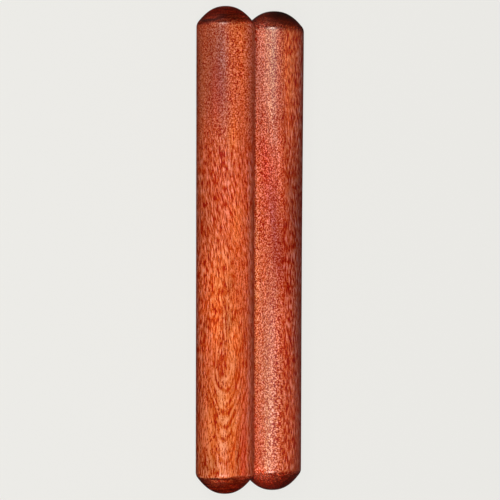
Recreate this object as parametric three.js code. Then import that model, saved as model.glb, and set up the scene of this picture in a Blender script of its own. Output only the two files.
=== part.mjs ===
// A pair of claves: two solid sticks of turned hardwood, lying side by side
// on a flat surface. Each stick is one piece of wood: a long barrel, very
// slightly thicker at its +Y end, with a low dome turned on each end. The
// dome meets the barrel at a shoulder that is only just rounded.
//
// Millimetres, +Z up, +Y along the sticks. The origin is on the resting
// surface, at the middle of the pair's bounding box.

import * as THREE from 'three';

// ---------------------------------------------------------------- dimensions

// The stick on the -X side.
const LEFT = {
  length: 200.0,        // tip to tip
  radiusFar: 12.03,     // barrel radius at the +Y shoulder
  radiusNear: 11.91,    // barrel radius at the -Y shoulder
  domeFar: 7.50,        // dome height beyond the +Y shoulder
  domeNear: 7.64,       // dome height beyond the -Y shoulder
  domePower: 2.28,      // fullness of the domes: 2 is a parabola
};

// The stick on the +X side, a trace shorter and thicker.
const RIGHT = {
  length: 198.6,
  radiusFar: 12.39,
  radiusNear: 11.90,
  domeFar: 7.43,
  domeNear: 7.69,
  domePower: 2.32,
};

const SIDES = 64;         // flats round each stick; one faces straight down
const DOME_RINGS = 10;    // rings on each dome
const ROUNDING = 1.2;     // how far the shoulder's rounding reaches each way
const ROUNDING_STEPS = 4;
const CLEARANCE = 0.3;    // between the two barrels at rest

// ------------------------------------------------------------------ geometry

// One end of a stick, from its tip to the start of the barrel: the dome, then
// the rounded shoulder. Points are (radius, height above the shoulder).
function domePoints(radius, height, power) {
  const rise = (r) => height * (1 - Math.pow(r / radius, power));
  const shoulder = new THREE.Vector2(radius, 0);
  // The rounding starts where the dome is ROUNDING away from the shoulder.
  let low = 0, high = radius;
  for (let i = 0; i < 40; i++) {
    const r = (low + high) / 2;
    if (Math.hypot(radius - r, rise(r)) > ROUNDING) low = r; else high = r;
  }
  const start = new THREE.Vector2(low, rise(low));
  const end = new THREE.Vector2(radius, -ROUNDING);

  const points = [];
  for (let i = 0; i < DOME_RINGS; i++) {
    // Rings crowd towards the shoulder, where the dome is steepest.
    const r = low * Math.sin((i / DOME_RINGS) * Math.PI / 2);
    points.push(new THREE.Vector2(r, rise(r)));
  }
  const bend = new THREE.QuadraticBezierCurve(start, shoulder, end);
  points.push(...bend.getPoints(ROUNDING_STEPS));
  return points;
}

// Half-profile of a stick from the -Y tip to the +Y tip, as (radius, y) with
// y = 0 halfway between the shoulders. The corners of a SIDES-sided section
// stand out from its flats by 1 / cos(pi / SIDES), so the flats carry the
// true radius.
function stickProfile(stick) {
  const corner = 1 / Math.cos(Math.PI / SIDES);
  const halfBarrel = (stick.length - stick.domeFar - stick.domeNear) / 2;
  const near = domePoints(stick.radiusNear, stick.domeNear, stick.domePower)
    .map((p) => new THREE.Vector2(p.x * corner, -halfBarrel - p.y));
  const far = domePoints(stick.radiusFar, stick.domeFar, stick.domePower)
    .map((p) => new THREE.Vector2(p.x * corner, halfBarrel + p.y));
  return [...near, ...far.reverse()];
}

// One stick, lying on z = 0 with the side that faces its neighbour along a
// line of constant x. towards is +1 where the neighbour is on the +X side.
// The barrel tapers, so its axis leans by the taper angle to bring its
// underside flat on the surface, and turns by the same angle to lie along
// the other stick.
function makeStick(name, stick, towards, material) {
  const geometry = new THREE.LatheGeometry(stickProfile(stick), SIDES);
  geometry.rotateY(Math.PI / SIDES);   // a flat, not a corner, faces down

  const halfBarrel = (stick.length - stick.domeFar - stick.domeNear) / 2;
  const straight = 2 * (halfBarrel - ROUNDING);
  const taper = Math.atan((stick.radiusFar - stick.radiusNear) / straight);
  const reach = (stick.radiusFar + stick.radiusNear) / 2 * Math.cos(taper);

  const mesh = new THREE.Mesh(geometry, material);
  mesh.name = name;
  mesh.rotation.set(taper, 0, towards * taper);
  // The tips, not the shoulders, are centred on y = 0.
  mesh.position.set(
    -towards * (reach + CLEARANCE / 2),
    (stick.domeNear - stick.domeFar) / 2,
    reach,
  );
  return mesh;
}

// ----------------------------------------------------------------- materials

// Red-orange tropical hardwood under a clear gloss lacquer. The two sticks
// come from different boards: the left is a little more orange.
const leftWood = new THREE.MeshStandardMaterial({
  color: 0xc45f36, roughness: 0.34, metalness: 0.0,
});
const rightWood = new THREE.MeshStandardMaterial({
  color: 0xb9583a, roughness: 0.36, metalness: 0.0,
});

// ------------------------------------------------------------------ assembly

const claves = new THREE.Group();
const pair = new THREE.Group();
pair.add(makeStick('left_clave', LEFT, 1, leftWood));
pair.add(makeStick('right_clave', RIGHT, -1, rightWood));

// Centre the pair's box over the origin and stand it on z = 0.
pair.updateMatrixWorld(true);
const bounds = new THREE.Box3().setFromObject(pair, true);
pair.position.set(
  -(bounds.min.x + bounds.max.x) / 2,
  -(bounds.min.y + bounds.max.y) / 2,
  -bounds.min.z,
);
claves.add(pair);

export default claves;
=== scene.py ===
import math

import bpy
import numpy as np
from mathutils import Matrix, Vector


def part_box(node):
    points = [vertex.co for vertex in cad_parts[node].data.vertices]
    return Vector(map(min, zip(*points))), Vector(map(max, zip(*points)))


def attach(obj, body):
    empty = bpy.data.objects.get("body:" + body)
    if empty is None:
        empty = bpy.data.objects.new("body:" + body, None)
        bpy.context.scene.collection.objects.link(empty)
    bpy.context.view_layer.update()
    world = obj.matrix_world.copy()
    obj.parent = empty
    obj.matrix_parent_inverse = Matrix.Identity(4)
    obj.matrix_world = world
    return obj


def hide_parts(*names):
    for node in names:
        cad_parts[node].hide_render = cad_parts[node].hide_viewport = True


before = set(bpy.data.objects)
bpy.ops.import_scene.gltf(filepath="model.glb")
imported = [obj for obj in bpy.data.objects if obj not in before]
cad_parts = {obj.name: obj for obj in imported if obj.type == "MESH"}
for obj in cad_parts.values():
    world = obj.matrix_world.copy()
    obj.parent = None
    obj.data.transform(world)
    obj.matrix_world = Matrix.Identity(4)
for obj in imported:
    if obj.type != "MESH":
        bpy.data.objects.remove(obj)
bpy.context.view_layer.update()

MM = 0.001
scene = bpy.context.scene
scene.view_settings.view_transform = "Standard"
scene.view_settings.look = "None"
scene.view_settings.exposure = 0.0
scene.view_settings.gamma = 1.0


# =====================================================================
# The sticks: turned profiles, swept into fine meshes
# =====================================================================

LEFT = dict(
    name="left_clave_wood", node="left_clave", slot="left_wood", side=1,
    length=200.0, r_far=12.03, r_near=11.91, dome_far=7.50, dome_near=7.64,
    power=2.28, waist=0.0, seed=11, lap=(0.10, 0.35), skew=((-0.72, 0.30, -0.9, 0.9), (0.0, 0.22, -0.55, 0.0), (0.45, 0.18, 0.35, 0.7)),
)
RIGHT = dict(
    name="right_clave_wood", node="right_clave", slot="right_wood", side=-1,
    length=198.6, r_far=12.39, r_near=12.02, dome_far=7.43, dome_near=7.69,
    power=2.32, waist=0.18, seed=29, lap=(0.55, 1.40), skew=(),
)

AROUND = 240          # columns round a stick
FILLET = 1.2         # how far each side of the shoulder its rounding reaches, mm


def dome_curve(radius, height, power, n):
    """(radius, rise) points from the tip down to the shoulder."""
    t = np.sin(np.linspace(0, np.pi / 2, n))
    return np.c_[radius * t, height * (1 - t ** power)]


def shoulder(a, corner, b, n=14):
    """A rounded corner from a to b."""
    t = np.linspace(0, 1, n)[:, None]
    return (1 - t) ** 2 * a + 2 * t * (1 - t) * corner + t ** 2 * b


def cut_before(curve, corner, reach):
    """The part of curve further than reach from corner, ending exactly reach away."""
    d = np.hypot(*(curve - corner).T)
    keep = curve[d > reach]
    last = keep[-1]
    step = corner - last
    return np.vstack([keep, last + step * (1 - reach / np.hypot(*step))])


def profile(s):
    """(radius, y) from the near tip to the far tip, mm, y = 0 between the shoulders."""
    half = (s["length"] - s["dome_far"] - s["dome_near"]) / 2
    ends = []
    for sign, radius, height in ((-1, s["r_near"], s["dome_near"]), (1, s["r_far"], s["dome_far"])):
        dome = dome_curve(radius, height, s["power"], 44)
        corner = np.array([radius, 0.0])
        dome = cut_before(dome, corner, FILLET)
        barrel_side = np.array([radius, -FILLET])
        bend = shoulder(dome[-1], corner, barrel_side)
        pts = np.vstack([dome[:-1], bend])
        pts = np.c_[pts[:, 0], sign * (half + pts[:, 1])]
        ends.append(pts)
    near, far = ends
    y = np.linspace(near[-1, 1], far[-1, 1], 290)[1:-1]
    k = (y - near[-1, 1]) / (far[-1, 1] - near[-1, 1])
    r = s["r_near"] + (s["r_far"] - s["r_near"]) * k - s["waist"] * 16 * (k * (1 - k)) ** 2
    return np.vstack([near, np.c_[r, y], far[::-1]])


def waves(rng, n, low, high):
    """Random smooth periodic-in-angle waves over a stick: list of (m, k, phase, size)."""
    out = []
    for _ in range(n):
        m = rng.integers(0, 4)
        k = rng.uniform(low, high)
        out.append((m, k * rng.choice([-1, 1]), rng.uniform(0, 2 * math.pi), rng.uniform(0.5, 1.0)))
    return out


def field(ws, theta, y):
    f = np.zeros_like(y)
    total = 0.0
    for m, k, p, a in ws:
        f += a * np.sin(m * theta + 2 * math.pi * y / k + p)
        total += a
    return f / (0.6 * total)


def blob(theta, y, th0, y0, wth, wy, size):
    """A soft patch centred at angle th0, height y0."""
    d = (theta - th0 + math.pi) % (2 * math.pi) - math.pi
    return size * np.exp(-0.5 * ((d / wth) ** 2 + ((y - y0) / wy) ** 2))


# Angles are measured round the stick from straight up, towards +X.
SEEN = math.radians(-36.8)     # the side that faces the usual viewpoint


def step(y, y0, width):
    return 0.5 + 0.5 * np.tanh((y - y0) / width)


def ease(x, width):
    """Zero below x = 0 and x above it, with a rounded corner."""
    return np.logaddexp(0, x / width) * width


def drift(a, y, start, end, width, size, soft=5.0):
    """A band that drifts round the stick, from (angle, height) start to end."""
    (a0, y0), (a1, y1) = start, end
    centre = a0 + (a1 - a0) * (y - y0) / (y1 - y0)
    lo, hi = min(y0, y1), max(y0, y1)
    return size * np.exp(-0.5 * ((a - centre) / width) ** 2) * step(y, lo, soft) * (1 - step(y, hi, soft))


def fields_left(theta, y, rng):
    """Low-frequency colour fields of the left stick, one array each: the wood's own colour,
    with painted light in places. twist: drift of the grain round the stick, mm; tone: darker
    or lighter, with painted shade down both sides and painted reflection on the near dome;
    hue: orange or deep red; cool: purplish, partly wood colour and partly painted reflection
    and painted sheen; pale: tan, partly wood colour and partly painted reflection; ring:
    distance through the growth rings, mm; speck: short flecks rather than long lines; arc:
    fine lines along the rings; grit: strength of the fine grain pattern; polish: how glossy
    the hand-rubbed finish is."""
    a = (theta - SEEN + math.pi) % (2 * math.pi) - math.pi      # angle from the seen side
    f = {}
    f["twist"] = 1.0 * field(waves(rng, 5, 70, 160), theta, y) \
        + 5.0 * np.tanh((y - 12) / 17) * np.exp(-0.5 * ((a - 0.15) / 0.75) ** 2)
    # Painted shade: the darker bands down the right side, where this stick meets the other one, and down the far left
    # side. Painted reflection: the lighter patch on the left of the near dome. Elsewhere the patches lighten or darken
    # the wood.
    f["tone"] = 0.05 * field(waves(rng, 6, 40, 120), theta, y) \
        + 0.12 - 0.16 * step(y, 45, 16) \
        + blob(theta, y, SEEN - 0.34, 78, 0.34, 24, -0.34) \
        + blob(theta, y, SEEN - 0.12, 76, 0.10, 20, -0.14) \
        + blob(theta, y, SEEN - 0.58, 90, 0.16, 8, -0.12) \
        + blob(theta, y, SEEN - 0.50, 12, 0.30, 12, -0.13) \
        + blob(theta, y, SEEN - 0.60, 50, 0.25, 8, 0.08) \
        + blob(theta, y, SEEN - 0.45, -12, 0.25, 8, 0.10) \
        + blob(theta, y, SEEN - 0.85, -31, 0.16, 10, 0.10) \
        + blob(theta, y, SEEN + 0.10, -62, 0.22, 20, 0.08) \
        + blob(theta, y, SEEN + 0.20, 38, 0.30, 16, -0.05) \
        + blob(theta, y, SEEN - 0.28, -31, 0.12, 8.0, 0.22) \
        + blob(theta, y, SEEN + 0.02, -31, 0.10, 8.0, -0.12) \
        + 0.06 * step(a, 0.12, 0.04) * (1 - step(a, 0.75, 0.12)) * step(y, 52, 10) \
        + blob(theta, y, SEEN + 0.20, -15, 0.12, 2.0, -0.22) \
        + blob(theta, y, SEEN + 0.22, -29, 0.14, 3.0, -0.26) \
        + blob(theta, y, SEEN - 0.72, -31, 0.10, 3.0, -0.22) \
        + blob(theta, y, SEEN + 0.22, 46, 0.14, 5.0, 0.14) \
        + blob(theta, y, SEEN + 0.32, -36, 0.12, 5.0, 0.14) \
        + blob(theta, y, SEEN - 0.62, -30, 0.20, 30, 0.08) \
        + blob(theta, y, SEEN + 0.46, -86, 0.05, 6.0, -0.34) \
        + blob(theta, y, SEEN - 0.62, -94, 0.30, 2.0, 0.22) \
        + blob(theta, y, SEEN + 0.00, -92.9, 0.26, 0.7, 0.30) \
        + blob(theta, y, SEEN - 0.62, -88, 0.28, 4.5, -0.34) \
        + blob(theta, y, SEEN + 0.46, 93.4, 0.30, 1.0, -0.40) \
        + blob(theta, y, SEEN + 0.00, 94.2, 0.25, 1.6, -0.25) \
        + blob(theta, y, SEEN - 0.62, 8, 0.25, 13, -0.10) \
        + blob(theta, y, SEEN - 0.20, -68, 0.20, 16, -0.07) \
        + blob(theta, y, SEEN + 1.25, -45, 0.16, 60, -0.28) \
        + blob(theta, y, SEEN + 1.35, 40, 0.16, 60, -0.12) \
        + blob(theta, y, SEEN + 0.78, 0, 0.14, 60, 0.08) \
        + blob(theta, y, SEEN - 1.45, 0, 0.12, 200, -0.10) \
        + blob(theta, y, SEEN + 0.46, 95.5, 0.30, 3.0, -0.50) \
        - 0.20 * (1 - step(y, -93.5, 0.8))
    f["hue"] = 0.18 * field(waves(rng, 6, 50, 140), theta, y) \
        + blob(theta, y, SEEN - 0.28, 66, 0.12, 8, -0.70) \
        + blob(theta, y, SEEN - 0.60, 80, 0.30, 30, -0.30) \
        + blob(theta, y, SEEN - 0.28, -31, 0.12, 8.0, 0.40) \
        + 0.16 * step(a, 0.12, 0.04) * (1 - step(a, 0.85, 0.12)) * step(y, 45, 12) \
        + blob(theta, y, SEEN + 0.22, 46, 0.16, 6.0, 0.55) \
        + blob(theta, y, SEEN + 0.34, -36, 0.16, 6.0, 0.65) \
        + blob(theta, y, SEEN - 0.20, -22, 0.30, 9.0, 0.35) \
        + blob(theta, y, SEEN + 0.40, 12, 0.12, 7.0, 0.45) \
        + blob(theta, y, SEEN - 0.10, -40, 0.50, 40, 0.25) \
        + blob(theta, y, SEEN + 0.26, -80, 0.10, 14, 0.55) \
        + blob(theta, y, SEEN - 0.46, -80, 0.10, 14, 0.45) \
        + blob(theta, y, SEEN + 0.75, 10, 0.14, 24, -0.18) \
        + blob(theta, y, SEEN - 0.75, 20, 0.20, 40, -0.12) \
        + blob(theta, y, SEEN + 0.72, -84, 0.10, 12, -0.60)
    # Purplish tint: painted reflection in the long bands down both sides, painted sheen in the two bands near the far
    # end, and a purplish patch at mid-height.
    f["cool"] = blob(theta, y, SEEN - 0.08, 80, 0.11, 20, 0.50) \
        + blob(theta, y, SEEN + 0.20, 38, 0.30, 16, 0.22) \
        + blob(theta, y, SEEN - 0.26, 82, 0.14, 14, 0.35) \
        + blob(theta, y, SEEN + 1.06, 0, 0.15, 200, 0.80) \
        + blob(theta, y, SEEN - 1.34, 0, 0.15, 200, 0.75)
    # Paler tan patches; the one on the left of the near dome is painted reflection.
    f["pale"] = blob(theta, y, SEEN + 0.0, -68, 0.50, 24, 0.28) \
        + blob(theta, y, SEEN - 0.80, 52, 0.20, 24, 0.25) \
        + blob(theta, y, SEEN - 0.62, -94, 0.34, 3.0, 0.45) \
        + blob(theta, y, SEEN + 0.00, -70, 0.16, 14, 0.12) \
        + blob(theta, y, SEEN - 0.45, -10, 0.30, 12, 0.18) \
        + blob(theta, y, SEEN + 0.10, -62, 0.22, 20, 0.15) \
        + blob(theta, y, SEEN - 0.10, -84, 0.14, 8, 0.25) \
        + blob(theta, y, SEEN - 0.1, 14, 0.40, 30, 0.10)
    f["ring"] = 6.0 * (np.sqrt((a - 0.06 - 0.05 * np.sin(y / 37.0)) ** 2 + 0.16) - 0.4) \
        + 0.122 * ease(-49 - y, 4.0) + 0.030 * ease(y + 42, 5.0) - 0.030 * ease(y + 16, 5.0) \
        + 0.25 * field(waves(rng, 5, 30, 80), theta, y)
    speck = 0.12 + 0.85 * step(y, 46, 9)
    f["speck"] = np.clip(speck + blob(theta, y, SEEN + 0.5, -10, 0.3, 14, 0.35), 0, 1)
    f["arc"] = (1 - step(y, -44, 7)) * (0.25 + 0.75 * step(y, -86, 4)) * np.exp(-0.5 * ((a - 0.05) / 0.80) ** 4)
    f["grit"] = 1.0 + blob(theta, y, SEEN - 0.3, 76, 0.5, 30, 1.20)
    f["polish"] = 0.15 + blob(theta, y, SEEN - 0.2, 76, 0.5, 24, 0.45)
    return f


def fields_right(theta, y, rng):
    a = (theta - SEEN + math.pi) % (2 * math.pi) - math.pi
    red = drift(a, y, (-0.38, 46), (0.20, -12), 0.18, 1.0)
    f = {}
    f["twist"] = 0.9 * field(waves(rng, 5, 80, 170), theta, y) \
        + 3.4 * np.tanh((y - 14) / 20) * np.exp(-0.5 * ((a - 0.75) / 0.45) ** 2)
    # Painted shade: the dark band down the right side, which faces away from the light. Slight painted highlight: the
    # small lifts on the left of the stick in the upper and lower sheen areas. Elsewhere the patches lighten or darken
    # the wood.
    f["tone"] = 0.05 * field(waves(rng, 6, 50, 140), theta, y) \
        + blob(theta, y, SEEN + 1.02, 8, 0.24, 44, -0.60) \
        + blob(theta, y, SEEN + 0.52, 0, 0.22, 18, -0.16) \
        + drift(a, y, (0.33, 60), (0.70, 12), 0.09, -0.24) \
        + drift(a, y, (-0.28, 66), (0.12, 42), 0.06, 0.16) \
        + drift(a, y, (0.12, 42), (0.30, 14), 0.06, 0.16) \
        + drift(a, y, (-0.15, 28), (0.30, -12), 0.14, -0.20) \
        + blob(theta, y, SEEN + 0.15, -50, 0.16, 22, 0.06) \
        + blob(theta, y, SEEN - 0.04, 80, 0.10, 22, -0.24) \
        + blob(theta, y, SEEN - 0.05, 51, 0.20, 6, -0.10) \
        + blob(theta, y, SEEN - 0.08, -31, 0.12, 12, -0.12) \
        + blob(theta, y, SEEN - 0.45, 92, 0.20, 8, 0.06) \
        + blob(theta, y, SEEN - 0.08, 30, 0.24, 9, 0.13) \
        + blob(theta, y, SEEN + 0.14, -56, 0.10, 26, 0.12) \
        + blob(theta, y, SEEN - 0.56, -14, 0.12, 14, 0.08) \
        + blob(theta, y, SEEN + 0.02, -11, 0.16, 12, -0.14) \
        + blob(theta, y, SEEN + 0.30, 78, 0.05, 18, -0.16) \
        + blob(theta, y, SEEN - 0.60, -25, 0.13, 34, 0.20) \
        + blob(theta, y, SEEN - 0.20, -62, 0.30, 26, 0.04) \
        + blob(theta, y, SEEN + 0.50, 70, 0.16, 22, 0.12) \
        + blob(theta, y, SEEN - 0.65, -93.8, 0.34, 2.6, 0.75) \
        + blob(theta, y, SEEN - 0.38, -92.4, 0.20, 1.6, 0.20) \
        + blob(theta, y, SEEN + 0.05, -96, 0.34, 2.6, 0.35) \
        + blob(theta, y, SEEN + 1.00, 60, 0.16, 20, 0.20) \
        + blob(theta, y, SEEN + 0.12, 51, 0.08, 8, -0.12) \
        + blob(theta, y, SEEN + 0.75, -95, 0.36, 3.5, -0.45) \
        + blob(theta, y, SEEN - 0.65, 94.5, 0.30, 3.2, 0.55) \
        + blob(theta, y, SEEN + 0.60, 97, 0.50, 4.0, -1.20) \
        - 0.70 * step(y, 95.5, 1.0)
    f["hue"] = 0.18 * field(waves(rng, 6, 60, 140), theta, y) \
        - 0.45 * red \
        + blob(theta, y, SEEN + 0.55, 72, 0.18, 24, 0.50) \
        + blob(theta, y, SEEN - 0.60, -25, 0.13, 34, 0.35) \
        + blob(theta, y, SEEN + 0.45, 5, 0.25, 22, -0.40) \
        + blob(theta, y, SEEN - 0.08, 76, 0.10, 26, 0.45) \
        + blob(theta, y, SEEN + 0.62, -60, 0.20, 40, -0.20)
    # Purplish tint, painted reflection: a band drifting across the seen side, and bands down the right side.
    f["cool"] = drift(a, y, (-0.18, 26), (0.25, -12), 0.10, 0.45) \
        + blob(theta, y, SEEN + 0.95, -20, 0.16, 60, 0.40) \
        + blob(theta, y, SEEN + 1.30, 0, 0.18, 200, 0.85)
    # Pale field, mostly painted highlight: the sheen on the left half near both ends and a bright line beside the
    # crease between the sticks. The patches on the left of the two domes are painted reflection. Two lighter lines
    # drift down the middle, and a few patches take paleness away.
    f["pale"] = blob(theta, y, SEEN - 0.60, 75, 0.22, 20, 0.55) \
        + blob(theta, y, SEEN - 0.42, 93, 0.22, 8, 0.30) \
        + blob(theta, y, SEEN - 0.08, 30, 0.24, 9, 0.14) \
        + blob(theta, y, SEEN + 0.16, -58, 0.10, 28, 0.30) \
        + blob(theta, y, SEEN - 0.55, 30, 0.14, 60, 0.18) \
        + drift(a, y, (-0.28, 66), (0.12, 42), 0.06, 0.55) \
        + drift(a, y, (0.12, 42), (0.30, 14), 0.06, 0.45) \
        + blob(theta, y, SEEN - 0.61, 0, 0.08, 18, 0.90) \
        + blob(theta, y, SEEN - 0.50, -45, 0.20, 24, 0.75) \
        + blob(theta, y, SEEN - 0.30, 94.5, 0.50, 2.4, 0.60) \
        + blob(theta, y, SEEN - 0.40, -92.8, 0.26, 2.0, 0.60) \
        + blob(theta, y, SEEN - 0.08, -31, 0.12, 14, -0.25) \
        + blob(theta, y, SEEN - 0.05, 78, 0.10, 24, -0.25) \
        + blob(theta, y, SEEN + 0.14, -62, 0.10, 20, 0.12) \
        + blob(theta, y, SEEN - 0.10, -62, 0.34, 30, 0.30)
    f["ring"] = 12 * np.sin(a + 0.2 * np.sin(y / 45.0)) + y * 0.02 \
        + 0.4 * field(waves(rng, 5, 30, 90), theta, y)
    f["speck"] = np.clip(0.92 - 0.80 * step(a, 0.35, 0.12), 0, 1)
    f["arc"] = np.zeros_like(y)
    # Stronger fine grain on the left, most of all near the far end, where the extra contrast also stands in for the
    # speckle of the sheen: partly painted highlight.
    f["grit"] = 1.0 + 0.35 * (1 - step(a, 0.3, 0.12)) \
        + blob(theta, y, SEEN - 0.20, 78, 0.35, 24, 1.60) \
        + blob(theta, y, SEEN - 0.10, -75, 0.35, 26, 0.10) \
        + blob(theta, y, SEEN + 0.80, 10, 0.30, 40, 0.30)
    f["polish"] = (0.36 + 1.10 * step(y, 58, 9) + 0.74 * (1 - step(y, -24, 12))) * (1 - 0.6 * red)
    return f


def build_stick(s, fields):
    prof = profile(s)
    half = (s["length"] - s["dome_far"] - s["dome_near"]) / 2
    rows = prof[1:-1]                       # rings; the two tips are single points
    n, m = len(rows), AROUND
    rng = np.random.default_rng(s["seed"])

    theta = np.linspace(0, 2 * math.pi, m, endpoint=False)
    R, T = np.meshgrid(rows[:, 0], theta, indexing="ij")
    Y, _ = np.meshgrid(rows[:, 1], theta, indexing="ij")
    # Hand-turned: very slightly out of round, with faint turning waves.
    out = 0.012 * field(waves(rng, 6, 30, 90), T, Y)
    fade = np.clip(R / s["r_near"], 0, 1) ** 2
    Rw = R + out * fade - 0.012
    local = np.stack([Rw * np.sin(T), Y, Rw * np.cos(T)], -1).reshape(-1, 3)
    tips = np.array([[0, prof[0, 1], 0], [0, prof[-1, 1], 0]])
    local = np.vstack([local, tips])

    # Colour fields per point: the wood's own colour, with painted shade, painted highlight and painted reflection in
    # places.
    figure_and_painted_light = fields(T, Y, rng)
    th = T + figure_and_painted_light.pop("twist") / 12.0 * np.clip(R / 12.0, 0.0, 1.0)
    grain = np.stack([R * np.sin(th), Y, R * np.cos(th)], -1).reshape(-1, 3)
    grain = np.vstack([grain, tips])

    def per_point(v):
        g = v.reshape(n, m)
        return np.concatenate([g.ravel(), [g[0].mean(), g[-1].mean()]])

    beyond = np.abs(local[:, 1]) - half
    near_lap, far_lap = s["lap"]            # how far the dark end finish laps onto the barrel, mm
    lap = np.where(local[:, 1] > 0, far_lap, near_lap)
    around = (np.arctan2(local[:, 0], local[:, 2]) - SEEN + math.pi) % (2 * math.pi) - math.pi
    for at, width, near, far in s["skew"]:
        lap = lap + np.where(local[:, 1] > 0, far, near) * np.exp(-0.5 * ((around - at) / width) ** 2)
    end = np.clip((beyond + 0.30 + lap) / (0.9 + 0.5 * np.maximum(lap - 0.8, 0)), 0, 1)
    figure_and_painted_light = {key: per_point(v) for key, v in figure_and_painted_light.items()}
    figure_and_painted_light["endgrain"] = end * end * (3 - 2 * end)
    figure_and_painted_light["deep"] = np.clip(beyond / 4.5, 0, 1)
    figure_and_painted_light["edge"] = np.exp(-0.5 * ((beyond - 0.1) / 0.9) ** 2)

    faces, uvs = [], []
    # UV layout: the barrel fills a tall strip, and the domes stand beside it.
    # The strip gives three times the resolution across the grain as along it.
    BAR_U0, BAR_U1 = 0.004, 0.826
    yb0, yb1 = -half - 0.3, half + 0.3

    def uv_barrel(i, j):
        y = rows[i, 1]
        return (BAR_U0 + (BAR_U1 - BAR_U0) * (y - yb0) / (yb1 - yb0),
                0.004 + 0.992 * j / m)

    def uv_dome(x, z, far):
        cu, cv = 0.9145, (0.75 if far else 0.25)
        return (cu + 0.0815 * x / 12.6, cv + 0.236 * z / 12.6)

    def is_dome(i0, i1):
        y = (rows[i0, 1] + rows[i1, 1]) / 2
        return abs(y) > half + 0.12

    # Start the columns at the underside, so the UV seam is where the stick rests.
    shift = m // 2
    for i in range(n - 1):
        dome = is_dome(i, i + 1)
        far = rows[i, 1] > 0
        for jj in range(m):
            j0, j1 = (jj + shift) % m, (jj + 1 + shift) % m
            # seen from outside, the corners run anticlockwise
            quad = [(i, j0), (i + 1, j0), (i + 1, j1), (i, j1)]
            faces.append([a * m + b for a, b in quad])
            if dome:
                uvs += [uv_dome(rows[a, 0] * math.sin(theta[b]), rows[a, 0] * math.cos(theta[b]), far) for a, b in quad]
            else:
                js = [jj, jj, jj + 1, jj + 1]
                uvs += [uv_barrel(a, k) for (a, b), k in zip(quad, js)]
    for jj in range(m):
        j0, j1 = jj, (jj + 1) % m
        lo = n * m
        hi = lo + 1
        faces.append([lo, j0, j1])
        uvs += [uv_dome(0, 0, False)] + [uv_dome(rows[0, 0] * math.sin(theta[b]), rows[0, 0] * math.cos(theta[b]), False) for b in (j0, j1)]
        base = (n - 1) * m
        faces.append([hi, base + j1, base + j0])
        uvs += [uv_dome(0, 0, True)] + [uv_dome(rows[-1, 0] * math.sin(theta[b]), rows[-1, 0] * math.cos(theta[b]), True) for b in (j1, j0)]

    # Into place: the CAD node's box says where the stick lies.
    lo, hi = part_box(s["node"])
    taper = math.atan((s["r_far"] - s["r_near"]) / (2 * (half - FILLET)))
    reach = (s["r_far"] + s["r_near"]) / 2 * math.cos(taper)
    line = hi.x / MM if s["side"] > 0 else lo.x / MM
    at = Vector((
        line - s["side"] * reach,
        (lo.y + hi.y) / 2 / MM + (s["dome_near"] - s["dome_far"]) / 2,
        lo.z / MM + reach,
    ))
    turn = (Matrix.Rotation(taper, 4, "X").inverted() @ Matrix.Identity(4)).inverted() @ Matrix.Rotation(s["side"] * taper, 4, "Z")
    rot = np.array(turn.to_3x3())
    world = (local @ rot.T + np.array(at)) * MM

    me = bpy.data.meshes.new(s["name"])
    me.from_pydata(world.tolist(), [], faces)
    me.update()
    uv = me.uv_layers.new(name="OFBake")
    uv.data.foreach_set("uv", np.array(uvs, np.float32).ravel())
    me.attributes.new("grain", "FLOAT_VECTOR", "POINT").data.foreach_set(
        "vector", grain.astype(np.float32).ravel())
    for key, v in figure_and_painted_light.items():
        me.attributes.new(key, "FLOAT", "POINT").data.foreach_set("value", v.astype(np.float32))
    me.shade_smooth()
    ob = bpy.data.objects.new(s["name"], me)
    scene.collection.objects.link(ob)
    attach(ob, s["node"])
    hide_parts(s["node"])
    return ob


# =====================================================================
# The wood: a solid, procedural hardwood, open pores under lacquer
# =====================================================================

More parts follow.
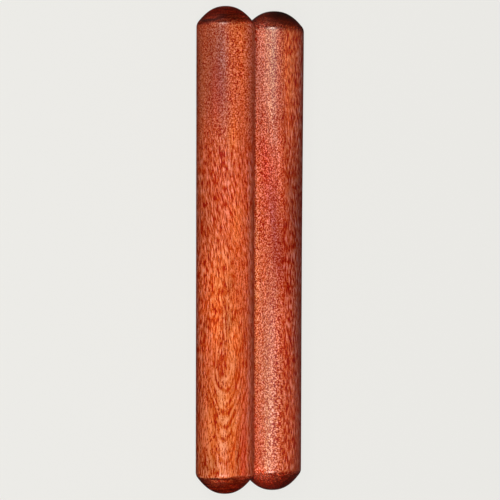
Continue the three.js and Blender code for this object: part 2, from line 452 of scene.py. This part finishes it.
class Net:
    """Small helper to write a node tree as expressions."""

    def __init__(self, tree):
        self.t = tree
        self.x = 0

    def node(self, kind, **props):
        n = self.t.nodes.new(kind)
        self.x += 40
        n.location = (self.x, 0)
        for k, v in props.items():
            setattr(n, k, v)
        return n

    def put(self, socket, value):
        if isinstance(value, bpy.types.NodeSocket):
            self.t.links.new(value, socket)
        elif value is not None:
            socket.default_value = value

    def math(self, op, a, b=None, c=None, clamp=False):
        n = self.node("ShaderNodeMath", operation=op, use_clamp=clamp)
        for i, v in enumerate((a, b, c)):
            if v is not None:
                self.put(n.inputs[i], v)
        return n.outputs[0]

    def add(self, a, b): return self.math("ADD", a, b)
    def sub(self, a, b): return self.math("SUBTRACT", a, b)
    def mul(self, a, b): return self.math("MULTIPLY", a, b)
    def mad(self, a, b, c): return self.math("MULTIPLY_ADD", a, b, c)

    def scaled(self, v, s):
        n = self.node("ShaderNodeVectorMath", operation="MULTIPLY")
        self.put(n.inputs[0], v)
        n.inputs[1].default_value = s
        return n.outputs[0]

    def moved(self, v, s):
        n = self.node("ShaderNodeVectorMath", operation="ADD")
        self.put(n.inputs[0], v)
        self.put(n.inputs[1], s)
        return n.outputs[0]

    def attr(self, name):
        return self.node("ShaderNodeAttribute", attribute_type="GEOMETRY", attribute_name=name)

    def noise(self, v, detail=2.0, rough=0.5, distortion=0.0, scale=1.0):
        n = self.node("ShaderNodeTexNoise", noise_dimensions="3D")
        self.put(n.inputs["Vector"], v)
        n.inputs["Scale"].default_value = scale
        n.inputs["Detail"].default_value = detail
        n.inputs["Roughness"].default_value = rough
        n.inputs["Distortion"].default_value = distortion
        return n

    def voronoi(self, v, randomness=1.0, feature="F1"):
        n = self.node("ShaderNodeTexVoronoi", voronoi_dimensions="3D", feature=feature)
        self.put(n.inputs["Vector"], v)
        n.inputs["Scale"].default_value = 1.0
        n.inputs["Randomness"].default_value = randomness
        return n

    def fade(self, v, lo, hi, a=0.0, b=1.0):
        n = self.node("ShaderNodeMapRange", interpolation_type="SMOOTHSTEP")
        self.put(n.inputs["Value"], v)
        self.put(n.inputs["From Min"], lo)
        self.put(n.inputs["From Max"], hi)
        n.inputs["To Min"].default_value = a
        n.inputs["To Max"].default_value = b
        return n.outputs["Result"]

    def ramp(self, v, stops):
        n = self.node("ShaderNodeValToRGB")
        cr = n.color_ramp
        cr.interpolation = "LINEAR"
        while len(cr.elements) < len(stops):
            cr.elements.new(0.5)
        for e, (p, c) in zip(cr.elements, stops):
            e.position = p
            e.color = (*c, 1)
        self.put(n.inputs["Fac"], v)
        return n.outputs["Color"]

    def mix(self, f, a, b, mode="MIX"):
        n = self.node("ShaderNodeMix", data_type="RGBA", blend_type=mode)
        n.clamp_factor = True
        self.put(n.inputs[0], f)
        for sock, v in ((n.inputs[6], a), (n.inputs[7], b)):
            self.put(sock, (*v, 1) if isinstance(v, tuple) and len(v) == 3 else v)
        return n.outputs[2]


def lin(*rgb):
    """A display colour, 0 to 255, as linear values."""
    return tuple((c / 255 / 12.92) if c <= 10 else ((c / 255 + 0.055) / 1.055) ** 2.4 for c in rgb)


def wood(name, w):
    mat = bpy.data.materials.new(name)
    mat.use_nodes = True
    t = mat.node_tree
    t.nodes.clear()
    g = Net(t)
    out = g.node("ShaderNodeOutputMaterial")
    p = g.node("ShaderNodeBsdfPrincipled")
    t.links.new(p.outputs[0], out.inputs["Surface"])

    P = g.moved(g.attr("grain").outputs["Vector"], w["offset"])
    tone, hue, cool, pale, ring, speck, arc, grit, polish, end, deep, edge = (
        g.attr(k).outputs["Fac"] for k in ("tone", "hue", "cool", "pale", "ring", "speck", "arc", "grit",
                                           "polish", "endgrain", "deep", "edge"))

    # A little small-scale wander, so fibres aren't ruled lines.
    wander = g.noise(g.scaled(P, (0.16, 0.055, 0.16)), 2.0, 0.5)
    wob = g.node("ShaderNodeVectorMath", operation="MULTIPLY_ADD")
    t.links.new(wander.outputs["Color"], wob.inputs[0])
    wob.inputs[1].default_value = (1.5, 0.0, 1.5)
    t.links.new(P, wob.inputs[2])
    Q = wob.outputs[0]

    # Colour at three sizes: clouds, streaks and fibres.
    cloud = g.noise(g.scaled(Q, (0.13, 0.03, 0.13)), 2.0, 0.5).outputs["Fac"]
    streak = g.noise(g.scaled(Q, (0.70, 0.025, 0.70)), 3.0, 0.55).outputs["Fac"]
    lines = g.noise(g.scaled(Q, (2.6, 0.34, 2.6)), 0.5, 0.6).outputs["Fac"]
    long = g.noise(g.scaled(Q, (0.62, 0.016, 0.62)), 1.0, 0.5).outputs["Fac"]
    long = g.fade(g.math("ABSOLUTE", g.sub(long, 0.5)), 0.0, 0.055, 1.0, 0.0)
    flecks = g.noise(g.scaled(Q, (2.5, 1.45, 2.5)), 1.0, 0.6).outputs["Fac"]

    # Growth rings: broad bands, and fine lines that follow them.
    wavy = g.mad(g.sub(g.noise(g.scaled(Q, (0.3, 0.04, 0.3)), 2.0).outputs["Fac"], 0.5), 1.0, ring)
    band = g.math("FRACT", g.mul(wavy, 1.0 / w["band_mm"]))
    band = g.mul(g.fade(band, 0.0, 0.8), g.fade(band, 1.0, 0.86))      # slow rise, quick fall
    along_ring = g.node("ShaderNodeCombineXYZ")
    g.put(along_ring.inputs[0], g.mul(wavy, 3.2))
    sepq = g.node("ShaderNodeSeparateXYZ")
    t.links.new(Q, sepq.inputs[0])
    g.put(along_ring.inputs[1], g.mul(sepq.outputs["X"], 0.22))
    g.put(along_ring.inputs[2], g.mul(sepq.outputs["Z"], 0.22))
    arcs = g.noise(along_ring.outputs[0], 0.5, 0.5).outputs["Fac"]

    fine = g.mad(g.sub(flecks, lines), speck, lines)
    fine = g.mad(g.sub(arcs, fine), g.mul(arc, 0.56), fine)

    # Open pores: dashes along the grain, dots on the end grain.
    thick = g.noise(g.scaled(Q, (0.22, 0.05, 0.22)), 1.0).outputs["Fac"]
    v1 = g.voronoi(g.scaled(Q, (1 / 0.52, 1 / 2.2, 1 / 0.52)))
    r1 = g.mad(g.sub(thick, 0.5), 0.16, w["pore"])
    pore1 = g.fade(v1.outputs["Distance"], g.sub(r1, 0.07), g.add(r1, 0.08), 1.0, 0.0)
    v2 = g.voronoi(g.scaled(g.moved(Q, (3.1, 7.7, 5.3)), (1 / 0.42, 1 / 1.0, 1 / 0.42)))
    r2 = g.mad(g.sub(thick, 0.5), 0.10, w["pore"] - 0.02)
    pore2 = g.fade(v2.outputs["Distance"], g.sub(r2, 0.09), g.add(r2, 0.10), 1.0, 0.0)

    tt = g.mad(g.sub(fine, 0.5), g.mul(grit, w["fine"]), 0.5)
    tt = g.mad(g.mul(long, g.sub(1.0, speck)), -w["long"], tt)
    tt = g.mad(pore2, -w["dark2"], tt)
    tt = g.mad(pore1, -w["dark1"], tt)
    base = g.ramp(tt, w["ramp"])
    # Broad light and dark areas, wood colour with some painted shade and painted reflection; on the domes, end-grain
    # flecks and turning marks too.
    flat = g.node("ShaderNodeVectorMath", operation="LENGTH")
    t.links.new(g.scaled(g.attr("grain").outputs["Vector"], (1.0, 0.0, 1.0)), flat.inputs[0])
    marks = g.node("ShaderNodeCombineXYZ")
    g.put(marks.inputs[0], g.mul(flat.outputs["Value"], 1.5))
    g.put(marks.inputs[1], g.mul(sepq.outputs["X"], 0.10))
    g.put(marks.inputs[2], g.mul(sepq.outputs["Z"], 0.10))
    marks = g.noise(marks.outputs[0], 1.5, 0.6).outputs["Fac"]
    dots = g.noise(g.scaled(P, (2.3, 2.3, 2.3)), 1.0, 0.6).outputs["Fac"]
    endfig = g.mad(g.sub(dots, 0.5), w["dots"], g.mul(g.sub(marks, 0.5), w["marks"]))
    tone = g.mad(endfig, end, tone)
    tone = g.mad(g.sub(cloud, 0.5), w["cloud"], tone)
    tone = g.mad(g.sub(streak, 0.5), w["streak"], tone)
    tone = g.mad(g.sub(band, 0.5), w["band"], tone)
    lift = g.node("ShaderNodeVectorMath", operation="SCALE")
    g.put(lift.inputs[0], base)
    g.put(lift.inputs["Scale"], g.math("EXPONENT", tone))
    base = lift.outputs[0]
    # Some streaks lean orange, others wine red.
    hh = g.mad(g.sub(streak, 0.5), 0.6, hue)
    base = g.mix(g.fade(hh, 0.0, 0.55), base, w["orange"], "MULTIPLY")
    base = g.mix(g.fade(hh, 0.0, -0.55), base, w["wine"], "MULTIPLY")
    # The cool and pale tints carry painted reflection and painted highlight as well as purplish and tan wood colour.
    base = g.mix(cool, base, w["cool"], "MULTIPLY")
    base = g.mix(pale, base, w["pale"], "MULTIPLY")
    # End grain drinks the finish and goes dark.
    tint = g.mix(deep, w["end_near"], w["end_deep"])
    base = g.mix(end, base, g.mix(1.0, base, tint, "MULTIPLY"))
    g.put(p.inputs["Base Color"], base)

    rough = g.mad(pore1, 0.16, w["rough"])
    rough = g.mad(pore2, 0.08, rough)
    rough = g.mad(g.sub(cloud, 0.5), 0.16, rough)
    rough = g.mad(edge, -0.16, rough)
    g.put(p.inputs["Roughness"], rough)

    height = g.mul(pore1, -0.8)
    height = g.mad(pore2, -0.6, height)
    height = g.mad(fine, 1.6, height)
    height = g.mul(height, g.mad(edge, -0.9, 1.0))
    b = g.node("ShaderNodeBump")
    b.inputs["Strength"].default_value = w["bump"]
    b.inputs["Distance"].default_value = 0.00010
    t.links.new(height, b.inputs["Height"])
    t.links.new(b.outputs["Normal"], p.inputs["Normal"])

    p.inputs["IOR"].default_value = 1.5
    g.put(p.inputs["Specular IOR Level"], g.mul(polish, w["spec"]))
    # The lacquer shines on the raised flecks and sinks into the pores.
    shine = g.mul(g.fade(fine, 0.40, 0.62), g.mad(pore1, -0.8, 1.0))
    coat = g.mul(g.mul(shine, polish), w["coat"])
    g.put(p.inputs["Coat Weight"], g.mad(g.math("MAXIMUM", edge, end), g.sub(w["coat_end"], coat), coat))
    p.inputs["Coat Roughness"].default_value = 0.26
    return mat


def grain_ramp(mid, contrast):
    """From dark pore lines up to the pale ground between them, in even display steps."""
    stops = []
    for i in range(15):
        t = i / 14 - 0.5
        t *= 0.54 if t > 0 else 1.16
        stops.append((i / 14, lin(*[min(max(c + 176 * t * k, low), 255)
                                    for c, k, low in zip(mid, contrast, (96, 16, 5))])))
    return stops


LEFT_WOOD = dict(
    offset=(4.0, 13.0, -7.0), band_mm=2.6, pore=0.25,
    cloud=0.26, streak=0.32, fine=1.80, band=0.05, long=0.14, dark1=0.44, dark2=0.34, dots=3.2, marks=4.8,
    ramp=grain_ramp((224, 103, 59), (0.66, 1.12, 1.36)),
    # cool and pale: purplish and tan tints, which also carry painted reflection and painted highlight.
    orange=(1.03, 1.10, 0.80), wine=(0.96, 0.66, 0.72), cool=(0.90, 1.12, 1.90), pale=(1.03, 1.75, 2.20),
    end_near=(0.42, 0.25, 0.22), end_deep=(0.34, 0.10, 0.055),
    rough=0.42, bump=0.12, spec=0.14, coat=0.20, coat_end=0.42,
)
RIGHT_WOOD = dict(
    LEFT_WOOD, offset=(-9.0, 41.0, 17.0), band_mm=3.1, pore=0.26, marks=1.6, dots=5.0,
    fine=2.1, ramp=grain_ramp((217, 97, 54), (0.68, 1.18, 1.54)),
    rough=0.40, spec=0.20, coat=1.0, coat_end=0.38, bump=0.18,
)

left = build_stick(LEFT, fields_left)
right = build_stick(RIGHT, fields_right)
left.data.materials.append(wood("left_wood_lacquered", LEFT_WOOD))
right.data.materials.append(wood("right_wood_lacquered", RIGHT_WOOD))


# =====================================================================
# Stage: floor, backdrop, soft light and camera
# =====================================================================

PALE = (0.831, 0.823, 0.791)


def disc(name, radius, z, rings=24, around=96):
    v, f = [(0, 0, z)], []
    for i in range(1, rings + 1):
        r = radius * (i / rings) ** 2.2
        v += [(r * math.cos(2 * math.pi * j / around), r * math.sin(2 * math.pi * j / around), z) for j in range(around)]
    f += [(0, 1 + j, 1 + (j + 1) % around) for j in range(around)]
    for i in range(rings - 1):
        a, b = 1 + i * around, 1 + (i + 1) * around
        f += [(a + j, b + j, b + (j + 1) % around, a + (j + 1) % around) for j in range(around)]
    me = bpy.data.meshes.new(name)
    me.from_pydata(v, [], f)
    ob = bpy.data.objects.new(name, me)
    scene.collection.objects.link(ob)
    return ob


floor = disc("floor", 6.0, -0.00002)
m = bpy.data.materials.new("floor_pale")
m.use_nodes = True
m.node_tree.nodes.clear()
g = Net(m.node_tree)
o = g.node("ShaderNodeOutputMaterial")
d = g.node("ShaderNodeBsdfDiffuse")
e = g.node("ShaderNodeEmission")
a = g.node("ShaderNodeAddShader")
FLOOR_LIT = 0.08
d.inputs["Color"].default_value = (*[c * FLOOR_LIT for c in PALE], 1)
e.inputs["Color"].default_value = (*PALE, 1)
e.inputs["Strength"].default_value = 1.0 - 0.7 * FLOOR_LIT
m.node_tree.links.new(d.outputs[0], a.inputs[0])
m.node_tree.links.new(e.outputs[0], a.inputs[1])
m.node_tree.links.new(a.outputs[0], o.inputs["Surface"])
floor.data.materials.append(m)
floor.visible_glossy = False
floor.visible_diffuse = False
floor.visible_transmission = False

backdrop = bpy.data.objects.new("backdrop", bpy.data.meshes.new("backdrop"))
vs, fs = [], []
for i in range(1, 24):
    for j in range(48):
        th, ph = math.pi * i / 24, 2 * math.pi * j / 48
        vs.append((5.9 * math.sin(th) * math.cos(ph), 5.9 * math.sin(th) * math.sin(ph), 5.9 * math.cos(th)))
vs += [(0, 0, 5.9), (0, 0, -5.9)]
for i in range(22):
    for j in range(48):
        fs.append((i * 48 + j, i * 48 + (j + 1) % 48, (i + 1) * 48 + (j + 1) % 48, (i + 1) * 48 + j))
for j in range(48):
    fs.append((len(vs) - 2, (j + 1) % 48, j))
    fs.append((len(vs) - 1, 22 * 48 + j, 22 * 48 + (j + 1) % 48))
backdrop.data.from_pydata(vs, [], fs)
scene.collection.objects.link(backdrop)
m = bpy.data.materials.new("backdrop_pale")
m.use_nodes = True
m.node_tree.nodes.clear()
g = Net(m.node_tree)
o = g.node("ShaderNodeOutputMaterial")
e = g.node("ShaderNodeEmission")
e.inputs["Color"].default_value = (*PALE, 1)
m.node_tree.links.new(e.outputs[0], o.inputs["Surface"])
backdrop.data.materials.append(m)
for flag in ("visible_glossy", "visible_diffuse", "visible_transmission", "visible_shadow"):
    setattr(backdrop, flag, False)

world = bpy.data.worlds.new("soft_room")
scene.world = world
world.use_nodes = True
wt = world.node_tree
wt.nodes.clear()
g = Net(wt)
o = g.node("ShaderNodeOutputWorld")
bg = g.node("ShaderNodeBackground")
coord = g.node("ShaderNodeTexCoord")
sep = g.node("ShaderNodeSeparateXYZ")
wt.links.new(coord.outputs["Generated"], sep.inputs[0])
up = g.fade(sep.outputs["Z"], -0.25, 0.9, 0.004, 0.03)
wt.links.new(up, bg.inputs["Strength"])
bg.inputs["Color"].default_value = (1.0, 0.985, 0.96, 1)
wt.links.new(bg.outputs[0], o.inputs["Surface"])


def area(name, across, along, az_x, az_y, dist, power, size, size_y, colour=(1, 1, 1), spread=180):
    """A soft light aimed at the pair. across is its angle off vertical towards +X,
    along its angle towards +Y, both in degrees."""
    L = bpy.data.lights.new(name, "AREA")
    L.shape = "RECTANGLE"
    L.size, L.size_y = size, size_y
    L.energy = power
    L.color = colour
    L.spread = math.radians(spread)
    ob = bpy.data.objects.new(name, L)
    a, b = math.radians(across), math.radians(along)
    d = Vector((math.sin(a) * math.cos(b), math.sin(b), math.cos(a) * math.cos(b)))
    ob.location = Vector((az_x, az_y, 0.012)) + d * dist
    z = d
    y = Vector((0, 1, 0))
    x = y.cross(z).normalized()
    y = z.cross(x).normalized()
    ob.matrix_world = Matrix.Translation(ob.location) @ Matrix((x, y, z)).transposed().to_4x4()
    ob.visible_camera = False
    scene.collection.objects.link(ob)
    return ob


# One big soft light stands just beside the camera; weak glossy ones draw the sheen.
main = area("main", -39, 0, 0, 0, 1.0, 9.6, 0.32, 1.0)
main.visible_glossy = False
side = area("side", 40, 0, 0, 0, 1.0, 0.8, 0.5, 1.0)
side.visible_glossy = False
for name, across, along, power, long in (("sheen_far", -74, 13.5, 1.4, 0.20), ("sheen_near", -53, -10.5, 1.7, 0.24)):
    sheen = area(name, across, along, 0, 0, 1.0, power, 0.45, long, colour=(0.68, 1.0, 0.52))
    sheen.visible_diffuse = False
for name, along in (("glint_far", 26), ("glint_near", -30)):
    glint = area(name, -45, along, 0, 0, 1.0, 9.0, 0.42, 0.20, colour=(1.0, 0.88, 0.76))
    glint.visible_diffuse = False
rim = area("rim", 78, 0, 0, 0, 1.0, 0.15, 0.4, 1.2)
rim.visible_diffuse = False

# What the domes mirror: the pale floor beyond each end, seen by glossy rays only.
card = disc("floor_mirrored", 2.0, -0.0002)
m = bpy.data.materials.new("floor_mirrored")
m.use_nodes = True
m.node_tree.nodes.clear()
g = Net(m.node_tree)
o = g.node("ShaderNodeOutputMaterial")
e = g.node("ShaderNodeEmission")
sep = g.node("ShaderNodeSeparateXYZ")
m.node_tree.links.new(g.node("ShaderNodeTexCoord").outputs["Object"], sep.inputs[0])
away = g.math("ABSOLUTE", sep.outputs["Y"])
to_left = g.mul(g.fade(sep.outputs["X"], -0.02, -0.05), g.fade(away, 0.085, 0.10))
g.put(e.inputs["Strength"], g.mad(to_left, 0.50, 0.03))
e.inputs["Color"].default_value = (*PALE, 1)
m.node_tree.links.new(e.outputs[0], o.inputs["Surface"])
card.data.materials.append(m)
for flag in ("visible_camera", "visible_diffuse", "visible_transmission", "visible_shadow"):
    setattr(card, flag, False)

# The camera stands to the left of the pair, 37 degrees off vertical, with
# the sticks running up the picture.
CAM = dict(phi=36.8, psi=1.02, roll=0.12, dist=1.200, k=2.424, target=(-0.2725, -1.43, 12.06), sx=-0.83, sy=3.41)
phi, psi, roll = (math.radians(CAM[k]) for k in ("phi", "psi", "roll"))
d = Vector((-math.sin(phi) * math.cos(psi), -math.sin(psi), math.cos(phi) * math.cos(psi)))
right_axis = Vector((0, 1, 0)).cross(d).normalized()
up_axis = d.cross(right_axis)
c, s_ = math.cos(roll), math.sin(roll)
right_axis, up_axis = c * right_axis + s_ * up_axis, -s_ * right_axis + c * up_axis
target = Vector(CAM["target"]) * MM
eye = target + d * CAM["dist"] - right_axis * (CAM["sx"] / CAM["k"] * MM) + up_axis * (CAM["sy"] / CAM["k"] * MM)
cam_data = bpy.data.cameras.new("camera")
cam = bpy.data.objects.new("camera", cam_data)
scene.collection.objects.link(cam)
cam.matrix_world = Matrix.Translation(eye) @ Matrix((right_axis, up_axis, d)).transposed().to_4x4()
cam_data.sensor_width = 36.0
cam_data.lens = CAM["k"] * CAM["dist"] / MM / 500 * 36.0
cam_data.clip_start, cam_data.clip_end = 0.05, 30.0
cam_data.dof.use_dof = False
scene.camera = cam
